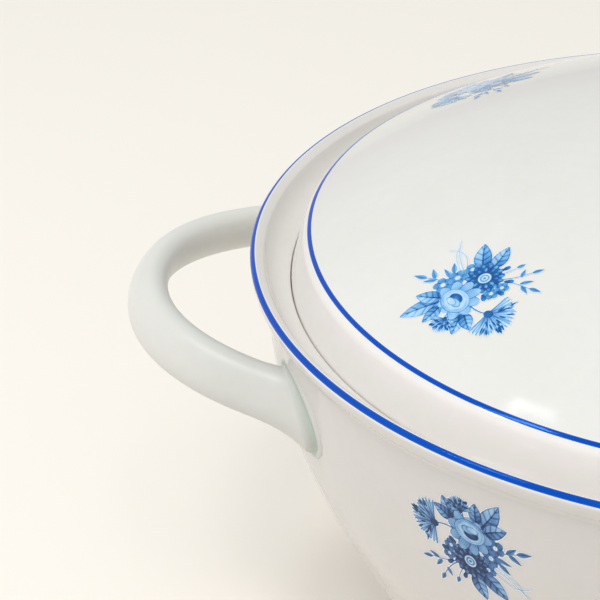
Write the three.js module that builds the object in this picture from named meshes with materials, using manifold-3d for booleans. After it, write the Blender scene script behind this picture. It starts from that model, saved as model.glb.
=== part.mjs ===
// Lidded soup tureen in glazed porcelain: a round bowl with an inner ledge, two
// strap handles, a domed lid that drops into the ledge, and a knob on the lid.
// Millimetres, +Z up. The origin is the centre of the foot ring's resting face,
// and the handles stand out along +X and -X.
import * as THREE from 'three';
import * as BufferGeometryUtils from 'three/addons/utils/BufferGeometryUtils.js';
import Module from 'manifold-3d';

// ---------------------------------------------------------------- driving sizes

const RIM_RADIUS = 125;             // to the middle of the coloured line on the lip
const RIM_HEIGHT = 108;             // foot to the middle of the same line
const GAP = 0.3;                    // air left between pieces that touch
const TURNS = 60;                   // facets round a turned piece

const lip = { radius: 1.4, centreR: RIM_RADIUS - 0.75, centreZ: RIM_HEIGHT - 0.8 };
const ledge = { innerR: 110.5, outerR: 115.85, z: 99, depth: 2.2 };
const foot = { innerR: 68.5, outerR: 72, height: 6.5, recess: 5.4 };
const floor = { z: 10.2, flatR: 52 };

const dome = { radius: 218.5, topZ: RIM_HEIGHT + 35.6, edgeR: 110.4, thickness: 4.2 };
const flange = { innerR: 105.2, outerR: 109.2, bottomZ: 89.6, round: 0.9 };
const lidSeat = { outerR: 115.4, z: ledge.z + GAP };

const knob = { neckR: 7.2, baseR: 8.6, headR: 18, height: 31 };

const handle = {
  reach: 151.7,                     // axis of the bowl to the middle of the grip
  rootX: 105.9,                     // where the strap's middle line meets the wall
  rootY: 48.5,
  bow: 40.3,                        // how wide the grip sweeps before it turns in
  gripZ: 92.4,
  rootZ: 87.4,
  sag: 0.6,                         // how far the middle line dips between grip and root
  halfThickness: 4.3,
  halfHeight: 6.6,
  flareFrom: 0.425,                 // grip share where the flare to the root begins
  flareRate: 3.4,                   // how late the flare opens, as an exponent
  rootThicker: 2.4,                 // extra half thickness at the root
  rootFlare: 4.5,                   // extra half height at the root
  rootBulge: 3,                     // how far the outer face swells at the root
  lean: 0.49,                       // radians that the strap's top leans in at the grip
  rootLean: 0.19,                   // how much further it leans in at the root
  squareness: 2.2,                  // exponent of the strap's section, 2 is an ellipse
  overrun: 0.24,                    // part of the path run on into the wall, then cut off
};

const colours = { body: 0xf0efec, lid: 0xf1f1ee, handle: 0xeeefec, knob: 0xf1f1ee };

// ------------------------------------------------------------- shared functions

const point = (radius, z) => new THREE.Vector2(radius, z);

function smooth(corners, steps) {
  const curve = new THREE.SplineCurve(corners.map(([radius, z]) => point(radius, z)));
  return curve.getPoints(steps);
}

function arc(centreR, centreZ, radius, fromDegrees, toDegrees, steps) {
  const from = THREE.MathUtils.degToRad(fromDegrees);
  const to = THREE.MathUtils.degToRad(toDegrees);
  const curve = new THREE.EllipseCurve(centreR, centreZ, radius, radius, from, to, to < from);
  return curve.getPoints(steps);
}

function turned(outline) {
  const geometry = new THREE.LatheGeometry(outline, TURNS);
  geometry.rotateX(Math.PI / 2);
  return geometry;
}

function piece(name, geometry, colour) {
  const glaze = new THREE.MeshStandardMaterial({ color: colour, roughness: 0.14, metalness: 0 });
  const mesh = new THREE.Mesh(geometry, glaze);
  mesh.name = name;
  return mesh;
}

const wasm = await Module();
wasm.setup();

function toSolid(geometry) {
  const bare = geometry.clone();
  bare.deleteAttribute('normal');
  bare.deleteAttribute('uv');
  const merged = BufferGeometryUtils.mergeVertices(bare, 1e-4);
  const vertProperties = new Float32Array(merged.attributes.position.array);
  const triVerts = new Uint32Array(merged.index.array);
  return new wasm.Manifold(new wasm.Mesh({ numProp: 3, vertProperties, triVerts }));
}

function toGeometry(solid) {
  const mesh = solid.getMesh();
  const geometry = new THREE.BufferGeometry();
  geometry.setAttribute('position', new THREE.BufferAttribute(new Float32Array(mesh.vertProperties), 3));
  geometry.setIndex(new THREE.BufferAttribute(new Uint32Array(mesh.triVerts), 1));
  geometry.computeVertexNormals();
  return geometry;
}

// ------------------------------------------------------------------------- bowl

// The wall's outside, from the foot up to the hollow under the lip.
const wallOutside = [
  [foot.outerR + 1, foot.height],
  [76.5, 9.2],
  [90, 20.5],
  [98.1, 30.5],
  [104.4, 42],
  [111, 54.1],
  [116.9, 69.5],
  [119.9, 83],
  [121.4, 94],
  [122.6, 101.4],
];

// The lip's outer face, from the groove under it up to its round top.
const lipOutside = [
  [123.5, 103.2],
  [124.9, 104.5],
  [125.5, 105.9],
];

// The cove from the lip down to the slot that the lid's edge drops into.
const cove = [
  [122.6, 107.6],
  [122, 106.6],
  [120.6, 104.3],
  [118.6, 102.4],
  [116.5, 101.4],
];

const wallInside = [
  [ledge.innerR, ledge.z - ledge.depth],
  [112.3, 93],
  [113.4, 86],
  [111.6, 74],
  [105.6, 59],
  [98.4, 45.5],
  [90, 33.5],
  [79, 22.5],
  [66, 14.4],
  [floor.flatR, floor.z + 0.7],
];

function bowlOutline() {
  return [
    point(0, foot.recess),
    point(foot.innerR - 4, foot.recess),
    point(foot.innerR - 1.2, foot.recess - 1.4),
    point(foot.innerR - 0.4, 0.5),
    point(foot.innerR, 0),
    point(foot.outerR, 0),
    point(foot.outerR + 0.5, 0.5),
    ...smooth(wallOutside, 13),
    ...lipOutside.map(([radius, z]) => point(radius, z)),
    ...arc(lip.centreR, lip.centreZ, lip.radius, -8, 125, 6),
    ...cove.map(([radius, z]) => point(radius, z)),
    point(ledge.outerR, 100.9),
    point(ledge.outerR, ledge.z),
    point(ledge.innerR + 0.6, ledge.z),
    ...smooth(wallInside, 12),
    point(0, floor.z),
  ];
}

function bowl() {
  return piece('bowl', turned(bowlOutline()), colours.body);
}

// ---------------------------------------------------------------------- handles

// A handle's middle line is given for s from -1 at one root, through 0 at the grip,
// to 1, and runs straight on past the roots. It is a blend of the grip and the root.
function bowShare(s) {
  const toGo = 1 - Math.abs(s);
  return 3 * toGo * Math.abs(toGo) * Math.abs(s);
}

function gripShare(s) {
  return (1 - Math.abs(s)) ** 3 + bowShare(s);
}

class StrapLine extends THREE.Curve {
  getPoint(s, target = new THREE.Vector3()) {
    const t = Math.abs(s);
    const grip = gripShare(s);
    const x = handle.reach * grip + handle.rootX * (1 - grip);
    const sweep = handle.bow * bowShare(s) + handle.rootY * (1 - grip);
    const dip = 16 * handle.sag * (t * (1 - t)) ** 2;
    const z = handle.gripZ * grip + handle.rootZ * (1 - grip) - dip;
    return target.set(x, Math.sign(s) * sweep, z);
  }
}

// A closed section, a rounded oval between an ellipse and a rectangle, of half size 1.
function strapSection(corners) {
  const power = 2 / handle.squareness;
  const rounded = (value) => Math.sign(value) * Math.abs(value) ** power;
  const section = new THREE.Shape();
  for (let i = 0; i < corners; i += 1) {
    const angle = (2 * Math.PI * i) / corners;
    const x = rounded(Math.cos(angle));
    const y = rounded(Math.sin(angle));
    if (i === 0) section.moveTo(x, y);
    else section.lineTo(x, y);
  }
  return section;
}

// The section is extruded straight, then each ring of it is set on the middle line.
function strap() {
  const steps = 38;
  const geometry = new THREE.ExtrudeGeometry(strapSection(16), { depth: 1, steps, bevelEnabled: false });
  const line = new StrapLine();
  const up = new THREE.Vector3(0, 0, 1);
  const position = geometry.attributes.position;
  const half = 0.001;
  for (let i = 0; i < position.count; i += 1) {
    const s = (1 + handle.overrun) * (1 - 2 * position.getZ(i));
    const centre = line.getPoint(s);
    const along = line.getPoint(s + half).sub(line.getPoint(s - half)).normalize();
    const out = new THREE.Vector3().crossVectors(along, up).normalize();
    const rise = new THREE.Vector3().crossVectors(out, along).normalize();
    const lean = handle.lean + handle.rootLean * s ** 2;
    const leanOut = out.clone().multiplyScalar(Math.cos(lean)).addScaledVector(rise, Math.sin(lean));
    const leanUp = rise.clone().multiplyScalar(Math.cos(lean)).addScaledVector(out, -Math.sin(lean));
    const toRoot = Math.max(0, gripShare(s)) / handle.flareFrom;
    const nearRoot = Math.max(0, 1 - toRoot) ** handle.flareRate;
    const thickness = handle.halfThickness + handle.rootThicker * nearRoot;
    const height = handle.halfHeight + handle.rootFlare * nearRoot;
    const bulge = handle.rootBulge * nearRoot * Math.max(0, position.getX(i)) ** 2;
    centre.addScaledVector(leanOut, position.getX(i) * thickness + bulge);
    centre.addScaledVector(leanUp, position.getY(i) * height);
    position.setXYZ(i, centre.x, centre.y, centre.z);
  }
  return geometry;
}

// Everything inside the wall's outside, grown by the gap, which trims a handle's roots.
function wallEnvelope() {
  const grown = wallOutside.map(([radius, z]) => [radius + GAP, z]);
  const side = smooth(grown, 13);
  const bottom = [point(0, 0), point(grown[0][0], 0)];
  const top = [point(grown.at(-1)[0], RIM_HEIGHT), point(0, RIM_HEIGHT)];
  return turned([...bottom, ...side, ...top]);
}

// The cut can leave a sliver by itself where the strap grazes the wall, which is left out.
function largestBody(solid) {
  return solid.decompose().reduce((a, b) => (a.volume() > b.volume() ? a : b));
}

function handles() {
  const trimmed = largestBody(toSolid(strap()).subtract(toSolid(wallEnvelope())));
  const left = piece('handle_left', toGeometry(trimmed), colours.handle);
  const right = piece('handle_right', toGeometry(trimmed), colours.handle);
  left.rotation.z = Math.PI;
  return [left, right];
}

// -------------------------------------------------------------------------- lid

// Height of the dome's surface over a radius, or of one a depth below it.
function domeZ(radius, depth = 0) {
  const centreZ = dome.topZ - dome.radius;
  return centreZ + Math.sqrt((dome.radius - depth) ** 2 - radius ** 2);
}

function domeLine(fromR, toR, depth, steps) {
  const points = [];
  for (let i = 0; i <= steps; i += 1) {
    const radius = fromR + ((toR - fromR) * i) / steps;
    points.push(point(radius, domeZ(radius, depth)));
  }
  return points;
}

function lidOutline() {
  return [
    ...domeLine(0, 100, dome.thickness, 6),
    point(103.8, 111.4),
    point(flange.innerR, 108),
    point(flange.innerR, flange.bottomZ + flange.round),
    point(flange.innerR + flange.round, flange.bottomZ),
    point(flange.outerR - flange.round, flange.bottomZ),
    point(flange.outerR, flange.bottomZ + flange.round),
    point(flange.outerR, lidSeat.z - 1),
    point(flange.outerR + 1, lidSeat.z),
    point(lidSeat.outerR - 0.7, lidSeat.z),
    point(lidSeat.outerR, lidSeat.z + 0.7),
    point(lidSeat.outerR - 0.1, 102),
    point(112.9, 111.2),
    point(111.9, 112.6),
    ...domeLine(dome.edgeR, 0, 0, 9),
  ];
}

function lid() {
  return piece('lid', turned(lidOutline()), colours.lid);
}

function lidKnob() {
  const profile = smooth([
    [knob.baseR, 0.6],
    [knob.neckR, 5.2],
    [10.4, 10],
    [knob.headR - 1.6, 14.8],
    [knob.headR, 20.2],
    [knob.headR - 3.6, 26.4],
    [7.8, 30],
  ], 12);
  const outline = [point(0, 0), point(knob.baseR, 0), ...profile, point(0, knob.height)];
  const mesh = piece('lid_knob', turned(outline), colours.knob);
  mesh.position.z = dome.topZ + GAP;
  return mesh;
}

// --------------------------------------------------------------------- assembly

const tureen = new THREE.Group();
tureen.add(bowl(), ...handles(), lid(), lidKnob());

export default tureen;
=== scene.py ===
import math

import bpy
import numpy as np
from mathutils import Matrix, Vector

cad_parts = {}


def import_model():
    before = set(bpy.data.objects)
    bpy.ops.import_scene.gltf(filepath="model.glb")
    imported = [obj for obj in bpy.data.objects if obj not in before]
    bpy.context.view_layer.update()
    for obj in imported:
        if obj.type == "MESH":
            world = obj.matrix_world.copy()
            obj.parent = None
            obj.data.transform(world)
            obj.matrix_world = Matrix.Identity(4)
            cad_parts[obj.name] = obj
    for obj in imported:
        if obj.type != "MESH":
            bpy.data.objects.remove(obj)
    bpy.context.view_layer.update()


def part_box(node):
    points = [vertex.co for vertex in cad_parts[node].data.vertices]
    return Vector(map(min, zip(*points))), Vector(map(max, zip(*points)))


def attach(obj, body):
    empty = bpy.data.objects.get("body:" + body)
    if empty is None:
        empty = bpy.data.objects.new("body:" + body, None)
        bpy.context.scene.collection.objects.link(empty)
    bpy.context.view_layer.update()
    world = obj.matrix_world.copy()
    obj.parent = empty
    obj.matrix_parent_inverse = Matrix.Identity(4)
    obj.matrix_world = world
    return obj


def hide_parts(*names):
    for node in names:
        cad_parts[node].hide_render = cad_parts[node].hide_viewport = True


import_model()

MM = 0.001

# ------------------------------------------------------------------ driving sizes

_, BOWL_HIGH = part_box("bowl")
_, LID_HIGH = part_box("lid")
KNOB_LOW, KNOB_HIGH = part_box("lid_knob")

LIP_RADIUS = 1.4                           # half thickness of the round lip
LIP_R = BOWL_HIGH.x / MM - LIP_RADIUS      # middle of the lip's roll
LIP_Z = BOWL_HIGH.z / MM - LIP_RADIUS
RIM_R = LIP_R + 0.75
RIM_Z = LIP_Z + 0.8
LEDGE_Z = RIM_Z - 9
DOME_TOP = LID_HIGH.z / MM
DOME_RADIUS = 218.5
LID_WALL = 4.2
LID_EDGE = LID_HIGH.x / MM
GAP = 0.3                                  # between the lid's seat and the ledge

BARE_RING = (68.7, 71.8)                   # unglazed ring under the foot
LIP_LINE = (7, 86)                         # degrees up the lip's roll
LID_LINE = (111.8, 110.62)                 # outer and inner radius of the lid's line
KNOB_LINES = (0.62, 0.83)                  # places of the knob's lines up its height
KNOB_LINE_HALF = 0.6
LINE_MARGIN = 0.08                         # share of a line's path left bare at each edge
PROUD = 0.05                               # how far fired colour stands off the glaze

LID_SPRAYS = (38.5, 140.5, 218.5, 320.5)   # degrees round the lid
LID_SPRAY_R = 90.9
BOWL_SPRAYS = (55, 125, 235, 305)          # degrees round the bowl
BOWL_SPRAY_Z = 83.6

BODY_TURNS = 320                           # points round the bowl and the lid
KNOB_TURNS = 128
FOOT_TURNS = 240
LINE_TURNS = 480
KNOB_LINE_TURNS = 160


# ------------------------------------------------------------------ plain outlines

def spline(points, steps):
    """A Catmull-Rom curve through the points, as an array of (radius, height)."""
    p = np.array(points, float)
    last = len(p) - 1
    t = np.linspace(0, last, steps + 1)
    i = np.minimum(t.astype(int), last - 1)
    f = (t - i)[:, None]
    a = p[np.maximum(i - 1, 0)]
    b, c = p[i], p[i + 1]
    d = p[np.minimum(i + 2, last)]
    linear = c - a
    square = 2 * a - 5 * b + 4 * c - d
    cube = 3 * b - a - 3 * c + d
    return 0.5 * (2 * b + linear * f + square * f**2 + cube * f**3)


def arc(r, z, radius, start, end, steps):
    """Part of a circle round the point (r, z), between two angles in degrees."""
    angle = np.radians(np.linspace(start, end, steps + 1))
    return np.stack([r + radius * np.cos(angle), z + radius * np.sin(angle)], 1)


def running_length(path):
    """The distance along a path to each of its points."""
    return np.concatenate([[0], np.cumsum(np.hypot(*np.diff(path, axis=0).T))])


def round_angles(turns):
    """Even steps round a ring, in radians."""
    return 2 * math.pi * np.arange(turns) / turns


def unit(vectors):
    """The same directions, with a length of 1."""
    return vectors / np.linalg.norm(vectors, axis=-1, keepdims=True)


def rounded(outline):
    """Cuts the corners of an outline twice, so that no edge stays sharp."""
    p = np.array(outline, float)
    for _ in range(2):
        q = 0.75 * p[:-1] + 0.25 * p[1:]
        r = 0.25 * p[:-1] + 0.75 * p[1:]
        p = np.concatenate([p[:1], np.stack([q, r], 1).reshape(-1, 2)[1:-1], p[-1:]])
    return p


WALL_OUTSIDE = spline([
    (73, 6.5), (76.5, 9.2), (90, 20.5), (98.1, 30.5), (104.4, 42), (111, 54.1),
    (116.9, 69.5), (119.9, 83), (121.4, 94), (122.6, 101.4),
], 60)
WALL_INSIDE = spline([
    (110.5, LEDGE_Z - 2.2), (112.3, 93), (113.4, 86), (111.6, 74), (105.6, 59),
    (98.4, 45.5), (90, 33.5), (79, 22.5), (66, 14.4), (52, 10.9),
], 44)


def bowl_outline():
    """From the axis under the foot, up the wall, over the lip, and back down inside."""
    foot = [
        (0, 5.5), (30, 5.5), (60, 5.4), (64.5, 5.3), (66.6, 4.2), (67.7, 1.6), (68.3, 0.5),
        (69.4, 0.15), (71.2, 0.15), (72.3, 0.6), (72.7, 2), (72.9, 4.2),
    ]
    under_lip = [(123.3, 102.7), (124.5, 103.9), (125.35, 105.3)]
    lip = arc(LIP_R, LIP_Z, LIP_RADIUS, -12, 84, 16)
    lip_inside = arc(LIP_R + 0.1, LIP_Z + 0.9, 0.5, 88, 128, 3)
    cove = [
        (122.6, 107.45), (122.3, 107.1), (122.05, 106.5), (121.3, 105), (120.1, 103.5),
        (118.6, 102.4), (117.2, 101.7), (116.1, 101.35), (115.7, 101.1), (115.68, LEDGE_Z + 0.4),
    ]
    ledge = [(115.2, LEDGE_Z), (111.4, LEDGE_Z)]
    well = [(40, 10.3), (20, 10.2), (0, 10.2)]
    return np.concatenate([
        foot, WALL_OUTSIDE, under_lip, lip, lip_inside, cove, ledge, WALL_INSIDE, well,
    ])


def dome_z(radius, depth=0):
    """The height of the lid's dome, or of the surface at a depth under it."""
    centre = DOME_TOP - DOME_RADIUS
    return centre + np.sqrt((DOME_RADIUS - depth) ** 2 - np.square(radius))


def dome_line(start, end, depth, steps):
    radius = np.linspace(start, end, steps + 1)
    return np.stack([radius, dome_z(radius, depth)], 1)


def lid_outline():
    """From the axis under the dome, round the flange and the seat, and back over the dome."""
    underside = dome_line(0, 100, LID_WALL, 24)
    flange = [
        (103.0, 112.2), (104.7, 110.6), (105.2, 107.5), (105.2, 100), (105.2, 91.2), (105.8, 89.8),
        (107.2, 89.6), (108.6, 89.8), (109.2, 91.2), (109.2, 97.4), (109.7, LEDGE_Z + 0.6),
    ]
    seat = [(110.6, LEDGE_Z + GAP), (114.4, LEDGE_Z + GAP), (115.35, LEDGE_Z + 0.6)]
    edge = [
        (LID_EDGE + 0.2, 100.2), (LID_EDGE + 0.18, 101.3), (115.05, 103), (114.15, 106.6),
        (113.15, 110.6), (112.95, 111.25), (112.65, 111.85), (112.25, 112.33), (111.7, 112.8),
        (111.0, 113.28),
    ]
    dome = dome_line(110.2, 0, 0, 44)
    return np.concatenate([underside, flange, seat, edge, dome])


def knob_outline():
    base = KNOB_LOW.z / MM
    head = KNOB_HIGH.x / MM
    top = KNOB_HIGH.z / MM
    side = spline([
        (8.6, 0.6), (7.2, 5.2), (10.4, 10), (head - 1.6, 14.8), (head, 20.2),
        (head - 3.6, 26.4), (7.8, 30),
    ], 40)
    foot = [(0, base), (8.0, base)]
    crown = [(4, top - 0.25), (0, top)]
    return np.concatenate([foot, side + (0, base), crown])


def pooling_and_shade(outline):
    """Where glaze runs together and painted shade is laid: 1 in a tight hollow of the outline, 0
    on flats and rounds.
    """
    reach = 1.1
    length = running_length(outline)
    before, after = length - reach, length + reach
    a = np.stack([np.interp(before, length, outline[:, k]) for k in (0, 1)], 1)
    b = np.stack([np.interp(after, length, outline[:, k]) for k in (0, 1)], 1)
    u, v = outline - a, b - outline
    turn = u[:, 1] * v[:, 0] - u[:, 0] * v[:, 1]
    return np.clip(1.2 * turn / reach**2 - 0.2, 0, 1)


# ------------------------------------------------------------------- mesh building

def make_object(name, vertices, faces, attributes=None):
    """A smooth mesh, which may carry named values at its points."""
    mesh = bpy.data.meshes.new(name)
    mesh.from_pydata([tuple(v) for v in vertices], [], faces)
    mesh.update()
    mesh.shade_smooth()
    for key, values in (attributes or {}).items():
        layer = mesh.attributes.new(key, "FLOAT", "POINT")
        layer.data.foreach_set("value", np.asarray(values, np.float32))
    piece = bpy.data.objects.new(name, mesh)
    bpy.context.scene.collection.objects.link(piece)
    return piece


def ring_faces(rows, turns, closed):
    """Quads of a grid whose rows are rings, which may also meet from last row to first."""
    i = np.arange(rows if closed else rows - 1)[:, None]
    j = np.arange(turns)[None]
    here, there = i * turns, ((i + 1) % rows) * turns
    after = (j + 1) % turns
    quads = np.stack([here + j, here + after, there + after, there + j], -1)
    return quads.reshape(-1, 4).tolist()


def turned(name, outline, turns):
    """Turns an outline that starts and ends on the Z axis, and marks its hollows for pooled glaze
    and painted shade.
    """
    p = np.array(outline, float)
    body = p[1:-1]
    angle = round_angles(turns)
    ring = np.stack([np.cos(angle), np.sin(angle)], 1)
    xy = body[:, None, :1] * ring[None]
    z = np.repeat(body[:, None, 1:], turns, 1)
    vertices = np.concatenate([xy, z], 2).reshape(-1, 3)
    vertices = np.concatenate([vertices, [(0, 0, p[0, 1]), (0, 0, p[-1, 1])]])
    first, end = len(vertices) - 2, (len(body) - 1) * turns
    faces = ring_faces(len(body), turns, False)
    faces += [(first, (j + 1) % turns, j) for j in range(turns)]
    faces += [(first + 1, end + j, end + (j + 1) % turns) for j in range(turns)]
    pool_and_shade = np.concatenate([np.repeat(pooling_and_shade(p)[1:-1], turns), [0, 0]])
    outside = np.arange(len(body)) < np.argmax(body[:, 1])
    outside = np.concatenate([np.repeat(outside, turns), [1, 0]])
    return make_object(name, vertices * MM, faces, {"pool_and_shade": pool_and_shade, "outside": outside})


def brush_waver(turns, amount, rng):
    """A small smooth wander round the ring, as a banding brush leaves."""
    angle = round_angles(turns)
    waves = sum(np.cos(k * angle + rng.uniform(0, 6.28)) / k**0.4 for k in (2, 5, 9, 17, 31))
    return amount * waves / 2


def ring_line(name, path, turns, waver, seed):
    """A painted ring on the surface whose outline the path is, with hand-drawn edges."""
    rng = np.random.default_rng(seed)
    p = np.array(path, float)
    length = running_length(p)
    direction = unit(np.gradient(p, length, axis=0))
    normal = np.stack([direction[:, 1], -direction[:, 0]], 1)
    low = length[-1] * LINE_MARGIN + brush_waver(turns, waver, rng)
    high = length[-1] * (1 - LINE_MARGIN) + brush_waver(turns, waver, rng)
    across = np.linspace(0, 1, 11)
    at = low[None] + (high - low)[None] * across[:, None]
    place = [np.interp(at, length, p[:, k]) for k in (0, 1)]
    out = [np.interp(at, length, normal[:, k]) for k in (0, 1)]
    rise = PROUD * np.sqrt(np.clip(1 - (2 * across - 1) ** 4, 0, 1))[:, None]
    front = [place[k] + out[k] * rise for k in (0, 1)]
    back = [(place[k] - out[k] * 0.3)[::-1] for k in (0, 1)]
    r, z = np.concatenate([front[0], back[0]]), np.concatenate([front[1], back[1]])
    angle = round_angles(turns)
    vertices = np.stack([r * np.cos(angle), r * np.sin(angle), z], -1).reshape(-1, 3)
    edge = 1 - np.clip(np.minimum(across, 1 - across) / 0.16, 0, 1)
    edge = np.repeat(np.concatenate([edge, edge[::-1]]), turns)
    return make_object(name, vertices * MM, ring_faces(len(r), turns, True), {"edge": edge})


# ------------------------------------------------------------------------- handles

GRIP_REACH = 151.7                         # axis of the bowl to the middle of the grip
GRIP_BOW = 40.3                            # how wide the grip sweeps before it turns in
GRIP_Z = 92.4
ROOT = (105.9, 48.5, 87.4)                 # where the strap's middle line ends
STRAP_SAG = 0.6                            # how far it dips between grip and root
STRAP_HALF = (4.3, 6.6)                    # half thickness, half height
STRAP_LEAN = (0.49, 0.19)                  # radians its top leans in, and more at the root
STRAP_SQUARENESS = 2.2
FLARE_FROM = 0.425                         # grip share where the strap begins to spread
FLARE_RATE = 3.4                           # how late the spread opens, as an exponent
ROOT_FLARE = (2.4, 4.5)                    # extra half thickness and half height at the root
ROOT_BULGE = 3.0                           # how far the outer face swells there
STRAP_TURNS = 112                          # points round the strap
STRAP_ROWS = 90                            # rings from grip to root

WELD_FROM = 3.0                            # height over the wall where the weld begins
WELD_LEAST = 0.4                           # and the least height where it may begin
WELD_WIDTH = (0.3, 0.65)                   # share of full width, and more where it is widest
WELD_WIDEST = 5.7                          # radians round the strap
WELD_POOL_AND_SHADE = (1.15, 2.1, 1.25)              # depth of pooled glaze and painted shade, its place and its spread
WELD = [                                   # distance out along the wall, height off it
    (0, 3.0), (0.45, 2.5), (0.85, 1.8), (1.15, 1.1), (1.5, 0.55), (2.0, 0.3), (2.6, 0.35),
    (3.4, 0.55), (4.2, 0.55), (4.9, 0.25), (5.3, -0.3),
]


def bow_share(s):
    """How much the strap's middle line follows the grip's wide sweep."""
    to_go = 1 - np.abs(s)
    return 3 * to_go * np.abs(to_go) * np.abs(s)


def grip_share(s):
    """1 at the middle of the grip, 0 at the roots, and below 0 past them."""
    return (1 - np.abs(s)) ** 3 + bow_share(s)


def strap_line(s):
    """The strap's middle line, for s from -1 at one root, through 0 at the grip, to 1.

    It is a blend of the grip and the root, and runs straight on past the roots.
    """
    t = np.abs(s)
    grip = grip_share(s)
    x = GRIP_REACH * grip + ROOT[0] * (1 - grip)
    y = GRIP_BOW * bow_share(s) + ROOT[1] * (1 - grip)
    dip = 16 * STRAP_SAG * (t * (1 - t)) ** 2
    return np.stack([x, np.sign(s) * y, GRIP_Z * grip + ROOT[2] * (1 - grip) - dip], -1)


def strap_surface(s, angle):
    """Points on the strap's skin, for arrays of s and of angle round its section."""
    ahead = unit(strap_line(s + 0.001) - strap_line(s - 0.001))
    out = unit(np.cross(ahead, (0, 0, 1)))
    rise = np.cross(out, ahead)
    lean = (STRAP_LEAN[0] + STRAP_LEAN[1] * np.square(s))[..., None]
    lean_out = out * np.cos(lean) + rise * np.sin(lean)
    lean_up = rise * np.cos(lean) - out * np.sin(lean)
    near_root = np.clip(1 - grip_share(s) / FLARE_FROM, 0, 1) ** FLARE_RATE
    power = 2 / STRAP_SQUARENESS
    c, d = np.cos(angle), np.sin(angle)
    c = np.sign(c) * np.abs(c) ** power
    d = np.sign(d) * np.abs(d) ** power
    wide = c * (STRAP_HALF[0] + ROOT_FLARE[0] * near_root)
    wide = wide + ROOT_BULGE * near_root * np.maximum(c, 0) ** 2
    tall = d * (STRAP_HALF[1] + ROOT_FLARE[1] * near_root)
    return strap_line(s) + lean_out * wide[..., None] + lean_up * tall[..., None]


def wall_height(p):
    """How far points stand off the bowl's wall, and the wall's outward direction there."""
    wall_r, wall_z = WALL_OUTSIDE.T
    r = np.hypot(p[..., 0], p[..., 1])
    slope = np.interp(p[..., 2], wall_z, np.gradient(wall_r, wall_z))
    steep = np.sqrt(1 + slope**2)
    height = (r - np.interp(p[..., 2], wall_z, wall_r)) / steep
    normal = np.stack([p[..., 0] / r / steep, p[..., 1] / r / steep, -slope / steep], -1)
    return height, normal


def beside(ring):
    """The sum of each row's two neighbours in an array that closes on itself."""
    return np.roll(ring, 1, 0) + np.roll(ring, -1, 0)


def root_rows(side, angles, rows):
    """The strap from its grip to one root, then the weld that runs out onto the wall."""
    tries = np.linspace(0, 1, 900)
    height, _ = wall_height(strap_surface(side * tries[:, None], angles[None]))
    width = WELD_WIDTH[0] + WELD_WIDTH[1] * np.maximum(np.cos(angles - WELD_WIDEST), 0) ** 2
    near_wall = height < WELD_FROM * width
    stop = np.where(near_wall.any(0), tries[near_wall.argmax(0)], 1.0)
    for _ in range(10):
        stop = 0.5 * stop + 0.25 * beside(stop)
    share = np.sin(0.5 * math.pi * np.linspace(0, 1, rows)) ** 1.1
    strap = strap_surface(side * share[:, None] * stop[None], np.repeat(angles[None], rows, 0))
    height, normal = wall_height(strap[-1])
    lift = np.maximum(WELD_LEAST - height, 0)
    strap[-1] += normal * lift[:, None]
    height += lift
    foot = strap[-1] - normal * height[:, None]
    around = np.roll(foot, -1, 0) - np.roll(foot, 1, 0)
    outward = unit(np.cross(around, normal))
    outward *= np.sign(np.sum(outward * (foot - foot.mean(0))))
    for _ in range(12):
        outward = unit(outward + 0.5 * beside(outward))
    weld = spline(WELD, 26)
    down = height[:, None] / WELD_FROM
    skirt = [foot + outward * (t * width)[:, None] + normal * h * down for t, h in weld[1:]]
    # pooled glaze and painted shade along the weld's crease
    depth, middle, spread = WELD_POOL_AND_SHADE
    pool_and_shade = depth * np.exp(-((weld[1:, 0] - middle) / spread) ** 2)
    body = np.concatenate([strap, skirt])
    before, seam, after = (slice(rows - 8 + k, rows + 3 + k) for k in range(3))
    for _ in range(8):
        body[seam] += 0.25 * (body[before] + body[after] - 2 * body[seam])
    return body, np.concatenate([np.zeros(rows), pool_and_shade])


def handle(name, turn):
    """A whole strap, turned round the bowl's axis by an angle."""
    angles = round_angles(STRAP_TURNS)
    ahead, pool_and_shade = root_rows(1, angles, STRAP_ROWS)
    mirrored, _ = root_rows(-1, angles, STRAP_ROWS)
    grid = np.concatenate([mirrored[::-1], ahead[1:]])
    pool_and_shade = np.repeat(np.concatenate([pool_and_shade[::-1], pool_and_shade[1:]]), STRAP_TURNS)
    c, s = math.cos(turn), math.sin(turn)
    vertices = grid.reshape(-1, 3) @ np.array([(c, s, 0), (-s, c, 0), (0, 0, 1)])
    faces = ring_faces(len(grid), STRAP_TURNS, False)
    return make_object(name, vertices * MM, faces, {"pool_and_shade": pool_and_shade})


# --------------------------------------------------------------- flower transfers

SPRAY_STEP = 0.13                          # grid of a transfer's patch
SPRAY_HALF = (18.4, 15.6)                  # half width and half height of the patch
INK_FROM = 0.004                           # a thinner film than this is left out


class Spray:
    """A patch of grid points, in millimetres, that holds how dense the blue is at each."""

    def __init__(self, half_width, half_height):
        x = np.arange(-half_width, half_width, SPRAY_STEP)
        y = np.arange(-half_height, half_height, SPRAY_STEP)
        self.x, self.y = np.meshgrid(x, y)
        self.ink = np.zeros_like(self.x)
        wash = 0.05 * np.sin(1.7 * self.x + 0.9 * self.y)
        self.wash = wash * np.sin(1.3 * self.y - 0.6 * self.x + 1)

    def local(self, place, angle):
        """Coordinates along and across a direction, from a place."""
        c, s = math.cos(math.radians(angle)), math.sin(math.radians(angle))
        dx, dy = self.x - place[0], self.y - place[1]
        return dx * c + dy * s, dy * c - dx * s

    def lay(self, inside, density):
        """Covers what lies inside a shape, given how far inside its edge each point is."""
        cover = np.clip(inside / (0.9 * SPRAY_STEP) + 0.5, 0, 1)
        self.ink += cover * (np.clip(density + self.wash, 0, 1) - self.ink)


def near(value, width):
    """1 where a value is near 0, falling to 0 at the width."""
    return np.clip(1 - np.abs(value) / width, 0, 1)


def within(along, across, length, half):
    """How far inside a shape's edge each point is, or -1 beyond its two ends."""
    return np.where((along > 0) & (along < length), half - np.abs(across), -1)


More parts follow.
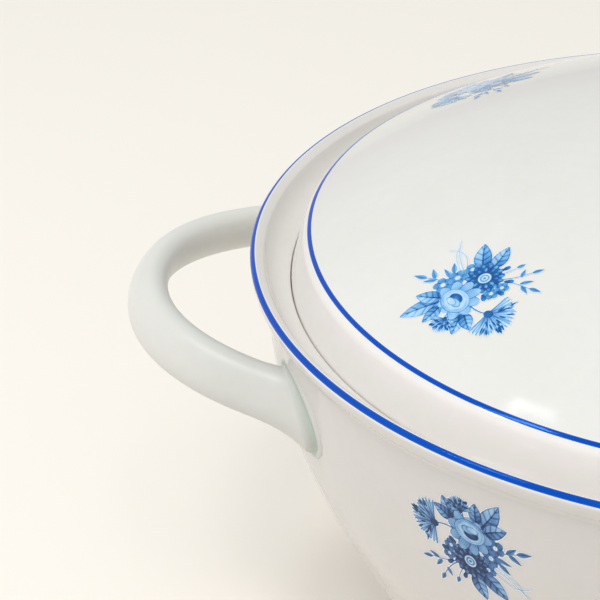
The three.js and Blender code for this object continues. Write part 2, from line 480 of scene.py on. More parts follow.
def oval(along, across, centre, halves, size):
    """0 in the middle of an oval and 1 on its edge, with its measures as shares of a size."""
    x = (along - centre[0] * size) / (halves[0] * size)
    y = (across - centre[1] * size) / (halves[1] * size)
    return np.hypot(x, y)


def leaf(spray, root, angle, length, width, tone, bend):
    """A leaf with a dark midrib that bows to one side, and slanting veins."""
    along, across = spray.local(root, angle)
    t = np.clip(along / length, 0.001, 0.999)
    across = across - bend * length * t * (1 - t)
    half = 0.5 * width * np.sin(math.pi * t**0.8) ** 0.8
    inside = within(along, across, length, half)
    side = np.abs(across) / half
    vein = near((4.5 * t - 0.75 * side) % 1 - 0.5, 0.2) * np.clip(1.6 - side, 0, 1)
    density = tone - 0.08 + 0.2 * (across < 0) + 0.45 * (1 - t) ** 2 + 0.34 * vein
    density = density + 0.75 * near(across, 0.24) * (1 - 0.5 * t) + 0.5 * near(inside, 0.3)
    spray.lay(inside, density)


def blade(spray, root, angle, length, width, tone):
    """A narrow straight leaf with no veins."""
    along, across = spray.local(root, angle)
    t = np.clip(along / length, 0.001, 0.999)
    half = 0.5 * width * np.sin(math.pi * t**0.7)
    inside = within(along, across, length, half)
    spray.lay(inside, tone + 0.3 * near(across, 0.15) + 0.12 * (across > 0))


def stem(spray, start, bow, end, width, tone=0.62):
    """A stroke along a bowed line, thinner to its end."""
    reach = math.dist(start, end)
    for t in np.linspace(0, 1, int(reach / 0.09) + 2):
        x = (1 - t) ** 2 * start[0] + 2 * t * (1 - t) * bow[0] + t * t * end[0]
        y = (1 - t) ** 2 * start[1] + 2 * t * (1 - t) * bow[1] + t * t * end[1]
        inside = width * (0.5 - 0.2 * t) - np.hypot(spray.x - x, spray.y - y)
        spray.lay(inside, tone)


def petal(spray, root, angle, length, width, tone, edge, lines=0):
    """A petal is widest near its round tip, and darker towards its root."""
    along, across = spray.local(root, angle)
    t = np.clip(along / length, 0.001, 1)
    half = 0.5 * width * np.sqrt(np.clip(1 - (2 * t**1.35 - 1) ** 2, 0, 1))
    inside = within(along, across, length, half)
    density = tone + 0.38 * (1 - t) ** 1.6 + edge * near(inside, 0.24)
    if lines:
        fan = across / (half + 0.05)
        density = density + 0.22 * near((lines * fan) % 1 - 0.5, 0.3) * np.clip(1.3 - t, 0, 1)
    spray.lay(inside, density)


ROSE_FOLDS = (                             # place, half length, half height, tone
    (0.1, -0.06, 0.36, 0.2, 0.3),
    (-0.12, -0.14, 0.34, 0.17, 0.16),
)


def rose(spray, place, size, turn):
    """Ruffled petals behind, then a wide pale cup seen from the side, and a dark heart."""
    for k in (0, 6, 1, 5, 2, 4, 3):
        angle = turn + 72 + (k - 3) * 38
        petal(spray, place, angle, 1.2 * size, 0.62 * size, 0.3, 0.5, 3)
    for k in (-1.5, 1.5, -0.5, 0.5):
        petal(spray, place, turn - 100 + 40 * k, 0.9 * size, 0.6 * size, 0.22, 0.4, 2)
    along, across = spray.local(place, turn)
    up = across + 0.08 * size
    ring = oval(along, up, (0, 0), (0.84, 0.64), size)
    shade = 0.1 + 0.34 * np.clip(ring - 0.45, 0, 1) * (1 - np.clip(up / size, -1, 1))
    shade = shade + 0.16 * near((3.1 * ring + 0.12 * np.sin(3 * along)) % 1 - 0.5, 0.25)
    spray.lay((1 - ring) * 0.7 * size, shade + 0.5 * near((1 - ring) * size, 0.36))
    heart = oval(along, up, (-0.08, 0.1), (0.4, 0.28), size)
    spray.lay((1 - heart) * 0.34 * size, 0.55 + 0.35 * np.clip(heart + 0.3, 0, 1))
    for x, y, wide, high, tone in ROSE_FOLDS:
        fold = oval(along, up, (x, y), (wide, high), size)
        spray.lay((1 - fold) * high * size, tone + 0.5 * near((1 - fold) * size * high, 0.24))


def aster(spray, place, size, seed=3):
    """Rings of short petals on a dark ground, round a pale button."""
    rng = np.random.default_rng(seed)
    along, across = spray.local(place, 0)
    around = np.arctan2(across, along)
    edge = size * (0.93 + 0.07 * np.cos(15 * around))
    spray.lay(edge - np.hypot(along, across), 0.9)
    for ring, count, wide in ((0.62, 15, 0.24), (0.36, 11, 0.2)):
        for k in range(count):
            angle = 360 * (k + rng.uniform(-0.15, 0.15)) / count
            a = math.radians(angle)
            root = (place[0] + ring * size * math.cos(a), place[1] + ring * size * math.sin(a))
            petal(spray, root, angle, 0.33 * size, wide * size, rng.uniform(0.4, 0.66), 0.4)
    button = np.hypot(along, across) / (0.33 * size)
    density = 0.1 + 0.6 * near(button - 0.6, 0.2) + 0.8 * near(button, 0.35)
    spray.lay((1 - button) * 0.33 * size, density)


def blossom(spray, place, size, turn):
    """A small flower of five round petals."""
    for k in range(5):
        petal(spray, place, turn + 72 * k, size, 0.85 * size, 0.5, 0.35)
    along, across = spray.local(place, 0)
    far = np.hypot(along, across)
    spray.lay(0.36 * size - far, 0.08 + 0.75 * near(far - 0.3 * size, 0.16) + 0.6 * near(far, 0.2))


def cornflower(spray, place, angle, size, seed=5):
    """A scaly cup, and a wide fan of florets with toothed mouths."""
    rng = np.random.default_rng(seed)
    for k in (-2.3, 2.2, -1.7, 1.5, -0.9, 0.8, -0.2):
        turn = angle + 33 * k
        long = size * rng.uniform(0.84, 1.04) * (1 - 0.03 * k * k)
        along, across = spray.local(place, turn)
        t = np.clip(along / long, 0.001, 1.2)
        half = size * (0.05 + 0.26 * t**1.5)
        tooth = np.abs(((across / size * 7.5) % 1) * 2 - 1)
        mouth = long * (1 - 0.2 * tooth - 0.5 * (across / size) ** 2)
        inside = np.where(along > 0, np.minimum(half - np.abs(across), mouth - along), -1)
        stripes = near((across / (half + 0.05) * 2.1) % 1 - 0.5, 0.3)
        density = 0.16 + 0.42 * stripes + 0.5 * np.clip(0.75 - t, 0, 1) + 0.45 * near(inside, 0.28)
        spray.lay(inside, density)
    for _ in range(22):
        a = math.radians(angle + rng.uniform(-62, 62))
        far = size * rng.uniform(0.28, 0.78)
        root = (place[0] + far * math.cos(a), place[1] + far * math.sin(a))
        blade(spray, root, math.degrees(a) + rng.uniform(-25, 25), 0.27 * size, 0.42, 0.8)
    along, across = spray.local(place, angle)
    cup = oval(along, across, (0.02, 0), (0.17, 0.14), size)
    spray.lay((1 - cup) * 0.15 * size, 0.95 - 0.25 * near((along / size * 14) % 1 - 0.5, 0.3))


def bud(spray, place, angle, size):
    """One closed petal with a dark base."""
    petal(spray, place, angle, size, 0.55 * size, 0.65, 0.3, 2)
    along, across = spray.local(place, angle)
    spray.lay(0.2 * size - np.hypot(along - 0.12 * size, across), 0.85)


TENDRILS = (                               # start, bow, end
    ((-5, 3), (-11, 5), (-15.2, 10)),
    ((-5.5, 2.5), (-13, 5), (-13.5, 8.6)),
    ((-6, 4), (-10, 9), (-14.8, 6.2)),
)
TWIG_BLADES = (                            # root, direction in degrees, length
    ((8.1, 12.3), 62, 2.9), ((7.1, 9.8), 118, 2.6), ((11.2, 8.6), 18, 3.3), ((9.1, 8), -14, 3.1),
    ((8.4, 8.2), 54, 3.3), ((3.9, 11.2), 70, 2.2),
)
LOW_BLADES = (
    ((-12.2, -2.9), 196, 4), ((-10.2, -2), 150, 3.7), ((-9.6, -1.9), 222, 3.6),
    ((-6.6, 0.3), 168, 4.4), ((-7.6, 1.6), 140, 3.6),
)
LEAVES = (                                 # root, direction, length, width, tone, bend
    ((-2.6, 6.2), 137, 8.8, 4.3, 0.3, 0.1), ((-0.8, 7.4), 108, 7.8, 3.9, 0.26, -0.1),
    ((-3.2, -6.2), 238, 9.6, 4.5, 0.22, -0.08), ((-3.8, -5.2), 205, 6.8, 3.9, 0.26, 0.1),
    ((-2.2, -7), 272, 5.6, 3.4, 0.28, 0.1), ((4, -6), 300, 5.8, 3.6, 0.24, 0.1),
    ((4.6, -5.4), 334, 5.4, 3.3, 0.3, -0.1),
)
BLOSSOMS = (                               # place, size, turn
    ((-6.9, -2.4), 2.4, 10), ((-5.6, 1), 2.5, 40), ((-4.6, 4.8), 2.1, 20), ((5.2, 2.2), 1.9, 0),
    ((5.9, 4.9), 1.8, 30),
)
BUDS = (                                   # place, direction
    ((3.8, 0.8), 330), ((5.9, 3.4), 10), ((5, 6.6), 40), ((1.6, 8.6), 70),
)


def flower_spray():
    """A rose and an aster with leaves, small flowers and a cornflower, drawn freely."""
    s = Spray(*SPRAY_HALF)
    for start, bow, end in TENDRILS:
        stem(s, start, bow, end, 0.2, 0.42)
    stem(s, (3, 6), (6, 8), (8.2, 12.6), 0.28)
    stem(s, (4.2, 6.4), (8, 8), (11.6, 8.6), 0.25)
    stem(s, (2, 7), (3.4, 9), (4, 11.6), 0.25, 0.55)
    for place, angle, long in TWIG_BLADES:
        blade(s, place, angle, long, 1.15, 0.5)
    stem(s, (-4.5, -1), (-9, -1.5), (-12.5, -3), 0.28)
    for place, angle, long in LOW_BLADES:
        blade(s, place, angle, long, 1.35, 0.46)
    for place, angle, long, wide, tone, bend in LEAVES:
        leaf(s, place, angle, long, wide, tone, bend)
    stem(s, (1.2, -7), (1.2, -8.6), (1.8, -9.4), 0.28)
    cornflower(s, (1.9, -8.9), 288, 3.9, 9)
    for place, size, turn in BLOSSOMS:
        blossom(s, place, size, turn)
    for place, angle in BUDS:
        bud(s, place, angle, 2.1)
    aster(s, (0.1, 4.5), 4.8)
    stem(s, (3.6, -3), (6.6, -3.6), (9.4, -2.2), 0.34, 0.75)
    cornflower(s, (9.4, -2.2), 4, 7.3)
    rose(s, (-0.3, -3.7), 4.9, -8)
    return s


def patch(name, spray, to_surface):
    """The inked part of a spray as a thin skin on the surface that to_surface gives."""
    rows, columns = spray.ink.shape
    inked = spray.ink > INK_FROM
    grown = inked.copy()
    for shift in (1, -1):
        grown |= np.roll(inked, shift, 0) | np.roll(inked, shift, 1)
    quad = grown[:-1, :-1] | grown[1:, :-1] | grown[:-1, 1:] | grown[1:, 1:]
    i, j = np.nonzero(quad)
    at = i * columns + j
    corners = np.stack([at, at + 1, at + columns + 1, at + columns], 1)
    used, faces = np.unique(corners, return_inverse=True)
    faces = faces.reshape(-1, 4)
    vertices = to_surface(spray.x.ravel()[used], spray.y.ravel()[used])
    a, b, c = (vertices[faces[0, k]] for k in (0, 1, 3))
    mostly_outward = a * (1, 1, 0.2)
    if np.dot(np.cross(b - a, c - a), mostly_outward) < 0:
        faces = faces[:, ::-1]
    return make_object(name, vertices * MM, faces.tolist(), {"ink": spray.ink.ravel()[used]})


def on_lid(azimuth):
    """Sets the spray on the dome, upright for someone who looks from outside."""
    a = math.radians(azimuth)
    out = np.array([math.cos(a), math.sin(a)])
    side = np.array([-math.sin(a), math.cos(a)])
    flatten = math.sqrt(1 - (LID_SPRAY_R / DOME_RADIUS) ** 2)

    def place(x, y):
        plan = (LID_SPRAY_R - y * flatten)[:, None] * out + x[:, None] * side
        r = np.hypot(plan[:, 0], plan[:, 1])
        surface = np.column_stack([plan, dome_z(r)])
        centre = np.array([0, 0, DOME_TOP - DOME_RADIUS])
        return surface + (surface - centre) / DOME_RADIUS * PROUD

    return place


def on_wall(azimuth):
    """Sets the spray upside down on the bowl's wall, as its twin hangs from the lid."""
    a = math.radians(azimuth)
    length = running_length(WALL_OUTSIDE)
    middle = np.interp(BOWL_SPRAY_Z, WALL_OUTSIDE[:, 1], length)

    def place(x, y):
        r = np.interp(middle - y, length, WALL_OUTSIDE[:, 0]) + PROUD
        z = np.interp(middle - y, length, WALL_OUTSIDE[:, 1])
        angle = a - x / r
        return np.stack([r * np.cos(angle), r * np.sin(angle), z], 1)

    return place


# ----------------------------------------------------------------------- materials

class Look:
    """A material whose nodes are made one after another, by short calls."""

    def __init__(self, name):
        self.material = bpy.data.materials.new(name)
        self.material.use_nodes = True
        self.nodes = self.material.node_tree.nodes
        self.links = self.material.node_tree.links
        self.shader = self.nodes["Principled BSDF"]
        self.place = self.nodes.new("ShaderNodeTexCoord").outputs["Object"]

    def join(self, source, socket):
        if hasattr(source, "is_output"):
            self.links.new(source, socket)
        else:
            socket.default_value = source

    def noise(self, size, detail=3.0, roughness=0.5, stretch=None):
        """Noise whose grains are about the size given in millimetres, from 0 to 1."""
        node = self.nodes.new("ShaderNodeTexNoise")
        node.inputs["Scale"].default_value = 1 / (size * MM)
        node.inputs["Detail"].default_value = detail
        node.inputs["Roughness"].default_value = roughness
        place = self.place
        if stretch:
            mapping = self.nodes.new("ShaderNodeMapping")
            mapping.inputs["Scale"].default_value = stretch
            self.links.new(place, mapping.inputs["Vector"])
            place = mapping.outputs["Vector"]
        self.links.new(place, node.inputs["Vector"])
        return node.outputs["Fac"]

    def specks(self, size, radius):
        """Round dots, 1 in their middles: one for each cell of the size given."""
        node = self.nodes.new("ShaderNodeTexVoronoi")
        node.inputs["Scale"].default_value = 1 / (size * MM)
        self.links.new(self.place, node.inputs["Vector"])
        return self.span(node.outputs["Distance"], radius / size, 0.5 * radius / size, 0, 1)

    def span(self, value, low, high, new_low, new_high):
        node = self.nodes.new("ShaderNodeMapRange")
        ends = {"From Min": low, "From Max": high, "To Min": new_low, "To Max": new_high}
        for key, number in ends.items():
            node.inputs[key].default_value = number
        self.links.new(value, node.inputs["Value"])
        return node.outputs["Result"]

    def maths(self, operation, a, b):
        node = self.nodes.new("ShaderNodeMath")
        node.operation = operation
        self.join(a, node.inputs[0])
        self.join(b, node.inputs[1])
        return node.outputs["Value"]

    def mix(self, amount, a, b):
        node = self.nodes.new("ShaderNodeMix")
        node.data_type = "RGBA"
        self.join(amount, node.inputs["Factor"])
        self.join((*a, 1) if isinstance(a, tuple) else a, node.inputs["A"])
        self.join((*b, 1) if isinstance(b, tuple) else b, node.inputs["B"])
        return node.outputs["Result"]

    def ramp(self, value, *stops):
        node = self.nodes.new("ShaderNodeValToRGB")
        points = node.color_ramp.elements
        while len(points) < len(stops):
            points.new(0.5)
        for point, (at, colour) in zip(points, stops):
            point.position = at
            point.color = (*colour, 1)
        self.links.new(value, node.inputs["Fac"])
        return node.outputs["Color"]

    def axis(self, name):
        """One coordinate of the place, in metres."""
        node = self.nodes.new("ShaderNodeSeparateXYZ")
        self.links.new(self.place, node.inputs["Vector"])
        return node.outputs[name]

    def attribute(self, name):
        node = self.nodes.new("ShaderNodeAttribute")
        node.attribute_name = name
        return node.outputs["Fac"]

    def bump(self, height, distance, under=None):
        node = self.nodes.new("ShaderNodeBump")
        node.inputs["Distance"].default_value = distance * MM
        self.links.new(height, node.inputs["Height"])
        if under is not None:
            self.links.new(under, node.inputs["Normal"])
        return node.outputs["Normal"]

    def finish(self, colour, roughness, normal):
        self.join(colour, self.shader.inputs["Base Color"])
        self.join(roughness, self.shader.inputs["Roughness"])
        self.links.new(normal, self.shader.inputs["Normal"])
        return self.material


PORCELAIN = (0.778, 0.755, 0.732)
PORCELAIN_WARM = (0.758, 0.733, 0.706)
# darker green for pooled glaze and painted shade in hollows, and for faint mottle
POOL_AND_SHADE_TINT = (0.50, 0.57, 0.50)
IRON_SPECK = (0.45, 0.36, 0.26)
PAINTED_SHADE_TONE = (0.78, 0.785, 0.785)          # painted shade: multiplies the white outside the bowl
DOME_SHADE_TONE = (0.92, 0.95, 0.95)            # and on top of the lid, as painted shade
HANDLE_SHADE_TONE = (0.93, 0.965, 0.95)           # and on the handles, as painted shade
SEAT_STAIN_AND_SHADE = (0.9, 0.83, 0.76)             # and where the lid's edge rubs in its seat: a rub stain with painted shade
WALL_SHADE_BELOW = (106.4, 107.4)          # heights where a tone is full, and where it is gone
DOME_SHADE_ABOVE = (113.6, 112)
STAIN_AND_SHADE_BELOW = (100.7, 101.4)
STAIN_AND_SHADE_ABOVE = (99.8, 99.4)
HANDLE_SHADE_REACH = (0.16, 0.09)                 # metres, where the painted shade starts and is full

COBALT = (0.0, 0.05, 0.4)
COBALT_STREAK = (0.0, 0.067, 0.45)
COBALT_DRIFT = (0.0, 0.078, 0.48)
COBALT_THIN = (0.12, 0.3, 0.78)            # at the edges of a line
COBALT_SHEEN = (0.12, 0.42, 1.0, 1)
LINE_GLOSS = 0.4
TRANSFER_GLOSS = 0.3
INK_STOPS = (0, 0.3, 0.55, 0.8, 1)         # densities of the ink, palest blue first
LID_DEPTH = 1.0                            # multiplies the density
LID_BLUES = (
    (0.54, 0.71, 0.84), (0.3, 0.53, 0.78), (0.09, 0.31, 0.63), (0.005, 0.125, 0.39),
    (0.0, 0.045, 0.2),
)
# painted shade: the bowl's transfers are a darker copy of the lid's blues
BOWL_SHADED_DEPTH = 1.08
BOWL_SHADED_BLUES = (
    (0.42, 0.59, 0.71), (0.2, 0.38, 0.6), (0.065, 0.17, 0.38), (0.012, 0.055, 0.17),
    (0.004, 0.02, 0.08),
)

CLAY = (0.66, 0.62, 0.54)
CLAY_DARK = (0.58, 0.53, 0.45)
CLAY_SPECK = (0.3, 0.24, 0.18)
PAPER = (0.93, 0.89, 0.83)
PAPER_PALE = (0.945, 0.905, 0.847)
PAPER_SHADED_BACK = (0.875, 0.838, 0.775)         # painted shade, away behind the tureen


def fired_white(look):
    """Clear glaze on white clay: faint clouds of tone, a darker green in hollows for pooled glaze
    and painted shade, iron specks.
    """
    cloud = look.span(look.noise(38, 2), 0.35, 0.7, 0, 1)
    white = look.mix(cloud, PORCELAIN, PORCELAIN_WARM)
    mottle = look.span(look.noise(3.2, 4), 0.35, 0.65, 0.0, 0.05)
    white = look.mix(mottle, white, POOL_AND_SHADE_TINT)
    # darker green in hollows: pooled glaze, with painted shade
    pool_and_shade = look.maths("MULTIPLY", look.attribute("pool_and_shade"), 0.75)
    white = look.mix(pool_and_shade, white, POOL_AND_SHADE_TINT)
    sparse = look.span(look.noise(23, 1), 0.6, 0.64, 0, 0.5)
    speck = look.maths("MULTIPLY", look.specks(9, 0.16), sparse)
    return look.mix(speck, white, IRON_SPECK)


def glaze_gloss(look):
    """Gloss that varies a little, with fine rubbed haze."""
    haze = look.span(look.noise(17, 5, 0.65), 0.35, 0.75, 0.045, 0.11)
    return look.maths("ADD", haze, look.span(look.noise(0.9, 2), 0.4, 0.7, 0, 0.02))


def glaze_skin(look):
    """Slow throwing waves under a fine orange peel."""
    waves = look.bump(look.noise(21, 1.5), 0.085)
    return look.bump(look.noise(1.4, 2), 0.0014, waves)


def low_down(look, full_at, none_at):
    """1 at one height and 0 at another, both in millimetres."""
    return look.span(look.axis("Z"), none_at * MM, full_at * MM, 0, 1)


def toned(look, white, amount, tone):
    """Multiplies the white by a tone, by the amount given."""
    shade = look.nodes.new("ShaderNodeMix")
    shade.data_type = "RGBA"
    shade.blend_type = "MULTIPLY"
    look.join(amount, shade.inputs["Factor"])
    look.join(white, shade.inputs["A"])
    shade.inputs["B"].default_value = (*tone, 1)
    return shade.outputs["Result"]


def bowl_white():
    look = Look("bowl_white")
    # painted shade: the outside wall below the lip is toned darker
    low = low_down(look, *WALL_SHADE_BELOW)
    outside = look.maths("MULTIPLY", look.attribute("outside"), low)
    white = toned(look, fired_white(look), outside, PAINTED_SHADE_TONE)
    return look.finish(white, glaze_gloss(look), glaze_skin(look))


def lid_white(name):
    look = Look(name)
    # painted shade: the dome's white is toned darker and greener
    on_dome = low_down(look, *DOME_SHADE_ABOVE)
    white = toned(look, fired_white(look), on_dome, DOME_SHADE_TONE)
    # a rub stain and painted shade on the lid's edge, where it sits in its gap
    stained_and_shaded = look.maths("MULTIPLY", low_down(look, *STAIN_AND_SHADE_BELOW), low_down(look, *STAIN_AND_SHADE_ABOVE))
    white = toned(look, white, stained_and_shaded, SEAT_STAIN_AND_SHADE)
    return look.finish(white, glaze_gloss(look), glaze_skin(look))


def handle_white():
    """The same glaze, with painted shade over all of it and more near the front root, and rubbed
    duller by hands.
    """
    look = Look("handle_white")
    rubbed = look.span(look.noise(25, 2), 0.3, 0.7, 0.3, 0.38)
    waves = look.bump(look.noise(21, 1.5), 0.1)
    reach = look.maths("ABSOLUTE", look.axis("X"), 0)
    reach = look.maths("ADD", reach, look.maths("MULTIPLY", look.axis("Y"), 0.8))
    # painted shade: full near the front root, fading toward the grip and the far leg
    thin = look.span(reach, *HANDLE_SHADE_REACH, 0, 1)
    # painted shade: the whole handle is toned darker and greener
    white = toned(look, fired_white(look), 1.0, HANDLE_SHADE_TONE)
    return look.finish(toned(look, white, thin, PAINTED_SHADE_TONE), rubbed, waves)


def cobalt(name):
    """Brushed blue: streaks along the line, paler where the brush ran thin at its edges."""
    look = Look(name)
    streak = look.span(look.noise(1.1, 4, 0.6, (1, 1, 6)), 0.3, 0.7, 0, 1)
    blue = look.mix(streak, COBALT, COBALT_STREAK)
    drift = look.span(look.noise(30, 2), 0.4, 0.65, 0, 0.35)
    blue = look.mix(drift, blue, COBALT_DRIFT)
    thin = look.maths("MULTIPLY", look.attribute("edge"), 0.35)
    blue = look.mix(thin, blue, COBALT_THIN)
    look.shader.inputs["Specular IOR Level"].default_value = LINE_GLOSS
    look.shader.inputs["Specular Tint"].default_value = COBALT_SHEEN
    return look.finish(blue, glaze_gloss(look), glaze_skin(look))


def transfer(name, depth, blues):
    """Printed blue under the glaze: the denser the ink, the deeper the blue."""
    look = Look(name)
    ink = look.attribute("ink")
    grain = look.span(look.noise(0.35, 2), 0.3, 0.7, -0.04, 0.04)
    ink = look.maths("MAXIMUM", look.maths("ADD", ink, look.maths("MULTIPLY", grain, ink)), 0)
    blue = look.ramp(look.maths("MULTIPLY", ink, depth), *zip(INK_STOPS, blues))
    cover = look.span(ink, 0, 0.16, 0, 1)
    colour = look.mix(cover, fired_white(look), blue)
    look.shader.inputs["Specular IOR Level"].default_value = TRANSFER_GLOSS
    return look.finish(colour, glaze_gloss(look), glaze_skin(look))


def bare_clay(name):
    """Dull fired clay, mottled and speckled."""
    look = Look(name)
    clay = look.mix(look.span(look.noise(2.5, 5), 0.35, 0.65, 0, 1), CLAY, CLAY_DARK)
    clay = look.mix(look.specks(1.6, 0.12), clay, CLAY_SPECK)
    rough = look.span(look.noise(0.6, 3), 0.3, 0.7, 0.62, 0.85)
    return look.finish(clay, rough, look.bump(look.noise(0.45, 4), 0.02))


def matt_paper(name):
    """Warm matt paper, in broad clouds of tone, with painted shade that makes it darker to the
    back.
    """
    look = Look(name)
    tone = look.mix(look.span(look.noise(300, 2), 0.3, 0.7, 0, 1), PAPER, PAPER_PALE)
    shaded_back = look.span(look.axis("Y"), -0.15, 0.5, 0, 1)
    tone = look.mix(shaded_back, tone, PAPER_SHADED_BACK)
    rough = look.span(look.noise(4, 3), 0.3, 0.7, 0.88, 0.96)
    return look.finish(tone, rough, look.bump(look.noise(1.2, 3), 0.01))


# ------------------------------------------------------------------------- pieces

def dress(piece, body, slot, look, *nodes):
    """Gives a piece its material and its body, and hides the nodes that it stands for. The slot is
    not used.
    """
    piece.data.materials.append(look)
    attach(piece, body)
    if nodes:
        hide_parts(*nodes)
    return piece


def bare_ring():
    """The clay ring that the tureen stands on, a thin skin over the foot."""
    inner, outer = BARE_RING
    path = [(inner - 0.35, 0.75), (inner, 0.12), (inner + 0.5, 0)]
    path += [(outer - 0.5, 0), (outer, 0.12), (outer + 0.35, 0.75)]
    front = rounded(path)
    back = front[::-1] * (1, 0.2) + (0, 0.9)
    p = np.concatenate([front, back])
    angle = round_angles(FOOT_TURNS)
    r, z = p[:, :1], p[:, 1:]
    vertices = np.stack([r * np.cos(angle), r * np.sin(angle), z + 0 * angle], -1).reshape(-1, 3)
    return make_object("foot_ring_bare", vertices * MM, ring_faces(len(p), FOOT_TURNS, True))


def lid_line_path():
    """The part of the lid's shoulder that its line is painted on."""
    outline = rounded(lid_outline())
    top = outline[outline[:, 1] > 110]
    top = top[(top[:, 0] > LID_LINE[1] - 0.2) & (top[:, 0] < LID_LINE[0] + 0.2)]
    top = top[np.argsort(-top[:, 0])]
    r = np.linspace(*LID_LINE, 12)
    return np.stack([r, np.interp(-r, -top[:, 0], top[:, 1])], 1)


def knob_line_path(share):
    """The part of the knob's side at a share of its height."""
    outline = rounded(knob_outline())
    base, top = KNOB_LOW.z / MM, KNOB_HIGH.z / MM
    z = base + share * (top - base) + np.linspace(-KNOB_LINE_HALF, KNOB_LINE_HALF, 9)
    side = outline[(outline[:, 1] > base + 2) & (outline[:, 1] < top - 0.6)]
    return np.stack([np.interp(z, side[:, 1], side[:, 0]), z], 1)


def china():
    bowl = turned("tureen_bowl", rounded(bowl_outline()), BODY_TURNS)
    dress(bowl, "bowl", "bowl_glaze", bowl_white(), "bowl")
    lid = turned("tureen_lid", rounded(lid_outline()), BODY_TURNS)
    dress(lid, "lid", "lid_glaze", lid_white("lid_white"), "lid")
    knob = turned("tureen_knob", rounded(knob_outline()), KNOB_TURNS)
    dress(knob, "lid", "knob_glaze", lid_white("knob_white"), "lid_knob")
    look = handle_white()
    dress(handle("strap_right", 0), "bowl", "handle_glaze", look, "handle_right")
    dress(handle("strap_left", math.pi), "bowl", "handle_glaze", look, "handle_left")
    dress(bare_ring(), "bowl", "bare_foot", bare_clay("foot_clay"))


def blue_lines():
    look = cobalt("cobalt_line")
    path = arc(LIP_R, LIP_Z, LIP_RADIUS, *LIP_LINE, 24)
    line = ring_line("lip_band", path, LINE_TURNS, 0.05, 11)
    dress(line, "bowl", "fired_blue", look)
    line = ring_line("lid_line", lid_line_path(), LINE_TURNS, 0.035, 12)
    dress(line, "lid", "fired_blue", look)
    for number, share in enumerate(KNOB_LINES):
        name = f"knob_line_{number + 1}"
        line = ring_line(name, knob_line_path(share), KNOB_LINE_TURNS, 0.03, 13 + number)
        dress(line, "lid", "fired_blue", look)


def transfers():
    drawn = flower_spray()
    look = transfer("lid_transfer", LID_DEPTH, LID_BLUES)
    for number, azimuth in enumerate(LID_SPRAYS):
        spray = patch(f"lid_spray_{number + 1}", drawn, on_lid(azimuth))
        dress(spray, "lid", "fired_blue", look)
    # painted shade: the bowl's sprays take the darker blues
    look = transfer("bowl_transfer", BOWL_SHADED_DEPTH, BOWL_SHADED_BLUES)
    for number, azimuth in enumerate(BOWL_SPRAYS):
        spray = patch(f"bowl_spray_{number + 1}", drawn, on_wall(azimuth))
        dress(spray, "bowl", "fired_blue", look)


# -------------------------------------------------------------- floor, light, camera

TABLE_HALF = 3.0                           # metres, as are all places and sizes below

WINDOW_SEEN_FROM = (-0.055, -0.09, 0.113)  # the spot on the lid that mirrors the window
WINDOW_AWAY = 1.8
WINDOW_PANES = (                           # azimuth, elevation, width, height, roll,
    (156.8, 64.4, 1.3, 6.8, -23, 15),      # all in degrees, then power per square metre
    (158, 61.4, 3.2, 1.3, 0, 15),
    (178, 58, 6, 14, 0, 56),
)

SOFT_BOX_TARGET = (0, 0, 0.05)
SOFT_BOX_COLOUR = (1.0, 0.94, 0.91)
SOFT_BOXES = (                             # name, place, size, power
    ("soft_box_left", (-0.50, -0.78, 1.6), (0.42, 0.42), 4.7),
    ("soft_box_middle", (-0.06, -0.85, 1.6), (0.5, 0.5), 3.0),
)

CAMERA_DISTANCE = 4.956                    # in radii of the rim
CAMERA_AZIMUTH = -97.0                     # degrees, as are the next three
CAMERA_ELEVATION = 26.75
CAMERA_YAW = -10.40
CAMERA_PITCH = -2.13
CAMERA_LENS = 150
CAMERA_SENSOR = 36

ROOM_BRIGHT_SIDE = (-0.6, -0.62, 0.5)
ROOM_DIM_UP_TO = -0.1                      # cosine to the bright side
ROOM_STRENGTH = (0.58, 1.07)               # away from the bright side, and toward it
ROOM_LEVEL_TINT = (1.0, 0.925, 0.94, 1)
ROOM_UPPER_TINT = (0.93, 1.0, 0.985, 1)


def floor():
    half = TABLE_HALF
    corners = [(-half, -half, 0), (half, -half, 0), (half, half, 0), (-half, half, 0)]
    piece = make_object("table_top", np.array(corners), [(0, 1, 2, 3)])
    piece.data.materials.append(matt_paper("table_paper"))


def bearing(azimuth, elevation):
    """The unit vector toward a place in the sky, given in degrees."""
    azimuth, elevation = math.radians(azimuth), math.radians(elevation)
    level = math.cos(elevation)
    return Vector((math.cos(azimuth) * level, math.sin(azimuth) * level, math.sin(elevation)))


def area_light(name, place, target, size, power, colour=(1, 1, 1)):
    light = bpy.data.lights.new(name, "AREA")
    light.shape = "RECTANGLE"
    light.size, light.size_y = size
    light.energy = power
    light.color = colour
    lamp = bpy.data.objects.new(name, light)
    bpy.context.scene.collection.objects.link(lamp)
    lamp.location = place
    direction = Vector(target) - Vector(place)
    lamp.rotation_euler = direction.to_track_quat("-Z", "Y").to_euler()
    return lamp


def window():
    """A bright window, high on the -X side: each pane is the part of the sky it fills."""
    seen_from = Vector(WINDOW_SEEN_FROM)
    for number, (azimuth, elevation, wide, high, roll, bright) in enumerate(WINDOW_PANES):
        size = (WINDOW_AWAY * math.radians(wide), WINDOW_AWAY * math.radians(high))
        place = seen_from + bearing(azimuth, elevation) * WINDOW_AWAY
        power = bright * size[0] * size[1]
        pane = area_light(f"window_pane_{number + 1}", place, seen_from, size, power)
        pane.rotation_euler.rotate_axis("Z", math.radians(roll))


def soft_boxes():
    """The main light, in two parts over the camera: broad, soft and slightly warm."""
    for name, place, size, power in SOFT_BOXES:
        area_light(name, place, SOFT_BOX_TARGET, size, power, SOFT_BOX_COLOUR)


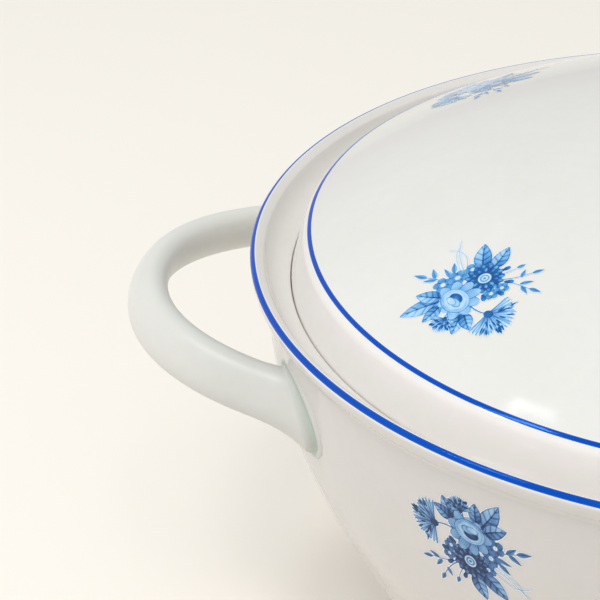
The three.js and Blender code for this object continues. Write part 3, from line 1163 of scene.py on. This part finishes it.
def camera():
    """The camera stands low on the -Y side and aims past the bowl's left handle."""
    distance = CAMERA_DISTANCE * RIM_R * MM
    yaw, pitch = math.radians(CAMERA_YAW), math.radians(CAMERA_PITCH)
    target = Vector((0, 0, RIM_Z * MM))
    back = bearing(CAMERA_AZIMUTH, CAMERA_ELEVATION)
    ahead = -back
    right = ahead.cross(Vector((0, 0, 1))).normalized()
    up = right.cross(ahead)
    turned_aside = math.cos(yaw) * ahead + math.sin(yaw) * right
    look = math.cos(pitch) * turned_aside + math.sin(pitch) * up
    look.normalize()
    right = look.cross(Vector((0, 0, 1))).normalized()
    up = right.cross(look)
    data = bpy.data.cameras.new("camera")
    data.lens = CAMERA_LENS
    data.sensor_width = CAMERA_SENSOR
    cam = bpy.data.objects.new("camera", data)
    cam.matrix_world = Matrix((right, up, -look)).transposed().to_4x4()
    cam.location = target + back * distance
    bpy.context.scene.collection.objects.link(cam)
    bpy.context.scene.camera = cam


def world():
    """A plain room, brighter from its left side, in front and above."""
    room = bpy.data.worlds.new("room")
    room.use_nodes = True
    nodes, links = room.node_tree.nodes, room.node_tree.links
    background = nodes["Background"]
    direction = nodes.new("ShaderNodeTexCoord").outputs["Generated"]
    toward = nodes.new("ShaderNodeVectorMath")
    toward.operation = "DOT_PRODUCT"
    toward.inputs[1].default_value = Vector(ROOM_BRIGHT_SIDE).normalized()
    links.new(direction, toward.inputs[0])
    strength = nodes.new("ShaderNodeMapRange")
    strength.interpolation_type = "SMOOTHSTEP"
    strength.inputs["From Min"].default_value = ROOM_DIM_UP_TO
    strength.inputs["To Min"].default_value = ROOM_STRENGTH[0]
    strength.inputs["To Max"].default_value = ROOM_STRENGTH[1]
    links.new(toward.outputs["Value"], strength.inputs["Value"])
    links.new(strength.outputs["Result"], background.inputs["Strength"])
    height = nodes.new("ShaderNodeSeparateXYZ")
    links.new(direction, height.inputs["Vector"])
    tint = nodes.new("ShaderNodeMix")
    tint.data_type = "RGBA"
    tint.inputs["A"].default_value = ROOM_LEVEL_TINT
    tint.inputs["B"].default_value = ROOM_UPPER_TINT
    links.new(height.outputs["Z"], tint.inputs["Factor"])
    links.new(tint.outputs["Result"], background.inputs["Color"])
    bpy.context.scene.world = room


china()
blue_lines()
transfers()
floor()
world()
window()
soft_boxes()
camera()
bpy.context.scene.view_settings.view_transform = "Standard"
